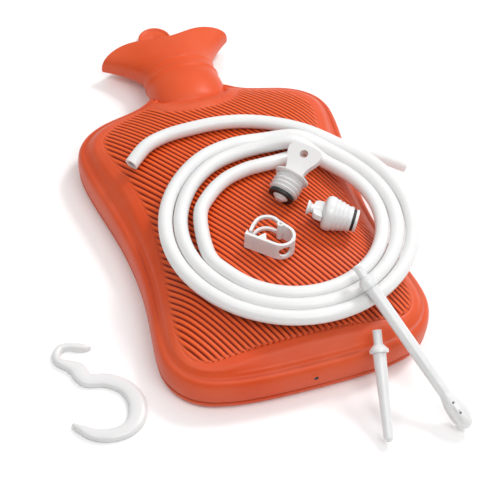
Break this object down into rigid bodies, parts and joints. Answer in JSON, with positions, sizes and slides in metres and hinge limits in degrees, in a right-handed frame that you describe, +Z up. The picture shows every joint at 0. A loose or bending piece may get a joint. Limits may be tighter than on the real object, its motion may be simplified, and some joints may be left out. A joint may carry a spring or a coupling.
{
  "type": "hot-water bottle irrigator kit",
  "caption": "Filled rubber hot-water bottle with funnel mouth, coiled hose, stopper, hose connector, pinch clamp, long and short nozzles and a hanging hook.",
  "frame": {"origin": "middle of the bottle body, on its flat back", "axes": "+Y from the bottle's foot to its funnel, +Z up from the table through the filled front, +X to the right seen from above"},
  "size_m": [0.2951, 0.4409, 0.0799],
  "materials": {
    "red_rubber": "satin moulded rubber",
    "hose_rubber": "smooth satin",
    "ivory_plastic": "satin",
    "white_plastic": "glossy",
    "black_rubber": "matt"
  },
  "bodies": {
    "bottle": {"bottle_back_shell": "red_rubber", "bottle_edge_band": "red_rubber", "bottle_front_shell": "red_rubber", "neck_sleeve": "red_rubber", "neck_ferrule": "ivory_plastic", "filling_funnel": "red_rubber", "hanging_tab": "red_rubber"},
    "hose": {"hose": "hose_rubber"},
    "stopper": {"stopper_body": "ivory_plastic", "stopper_washer": "black_rubber", "stopper_end_cap": "ivory_plastic"},
    "connector": {"connector_body": "white_plastic", "connector_collar": "white_plastic", "connector_washer": "black_rubber", "connector_end_disc": "white_plastic"},
    "clamp": {"clamp_base": "white_plastic"},
    "clamp_arm": {"clamp_arm": "white_plastic"},
    "long_nozzle": {"long_nozzle_head": "white_plastic", "long_nozzle_shaft": "white_plastic", "long_nozzle_spigot": "white_plastic"},
    "short_nozzle": {"short_nozzle_shaft": "white_plastic", "short_nozzle_spigot": "white_plastic"},
    "hook": {"hanging_hook": "white_plastic"}
  },
  "joints": [
    {"name": "hose_lift", "type": "slide", "parent": "bottle", "child": "hose", "axis": [0, 0, 1], "range_m": [0, 0.05]},
    {"name": "stopper_lift", "type": "slide", "parent": "hose", "child": "stopper", "axis": [0, 0, 1], "range_m": [0, 0.05]},
    {"name": "long_nozzle_lift", "type": "slide", "parent": "hose", "child": "long_nozzle", "axis": [0, 0, 1], "range_m": [0, 0.05]},
    {"name": "connector_lift", "type": "slide", "parent": "bottle", "child": "connector", "axis": [0, 0, 1], "range_m": [0, 0.05]},
    {"name": "clamp_lift", "type": "slide", "parent": "bottle", "child": "clamp", "axis": [0, 0, 1], "range_m": [0, 0.05]},
    {"name": "clamp_squeeze", "type": "hinge", "parent": "clamp", "child": "clamp_arm", "pos_m": [0.00943, -0.05957, 0.0597], "axis": [0, 0, 1], "range_deg": [-12, 0]},
    {"name": "short_nozzle_lift", "type": "slide", "parent": "bottle", "child": "short_nozzle", "axis": [0, 0, 1], "range_m": [0, 0.05]},
    {"name": "hook_lift", "type": "slide", "parent": "bottle", "child": "hook", "axis": [0, 0, 1], "range_m": [0, 0.05]}
  ]
}
